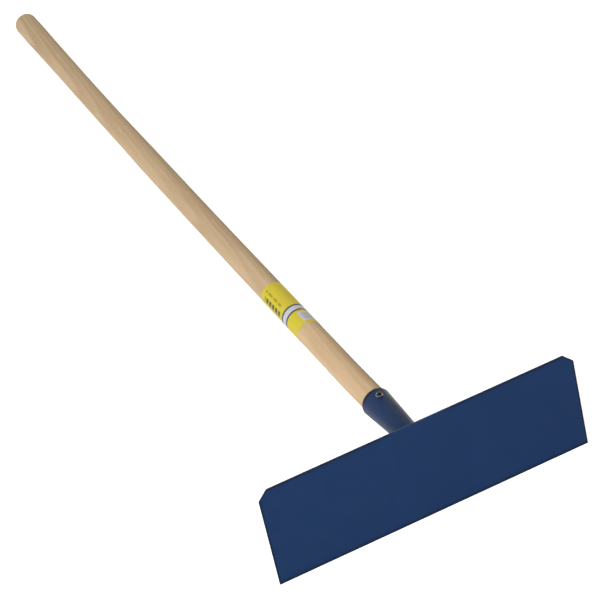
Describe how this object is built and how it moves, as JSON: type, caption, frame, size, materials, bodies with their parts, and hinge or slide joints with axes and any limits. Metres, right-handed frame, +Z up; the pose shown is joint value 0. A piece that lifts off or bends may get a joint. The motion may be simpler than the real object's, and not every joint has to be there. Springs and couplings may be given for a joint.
{
  "type": "road scraper",
  "caption": "Long-handled road scraper: flat blue steel blade with cut top corners, conical welded socket and a bowed wooden handle with a rounded end, screwed at the mouth.",
  "frame": {"origin": "on the floor that the tool lies on, below the middle of its length and width", "axes": "+Z up from the floor, +Y from the blade towards the end of the handle, +X along the cutting edge"},
  "size_m": [0.5, 1.5824, 0.1592],
  "materials": {
    "navy_paint": "satin",
    "pale_wood": "satin",
    "plated_steel": "satin",
    "printed_paper": "satin"
  },
  "bodies": {
    "root": {"blade": "navy_paint", "socket": "navy_paint", "socket_weld": "navy_paint", "handle": "pale_wood", "handle_screw": "plated_steel", "label": "printed_paper"}
  },
  "joints": []
}
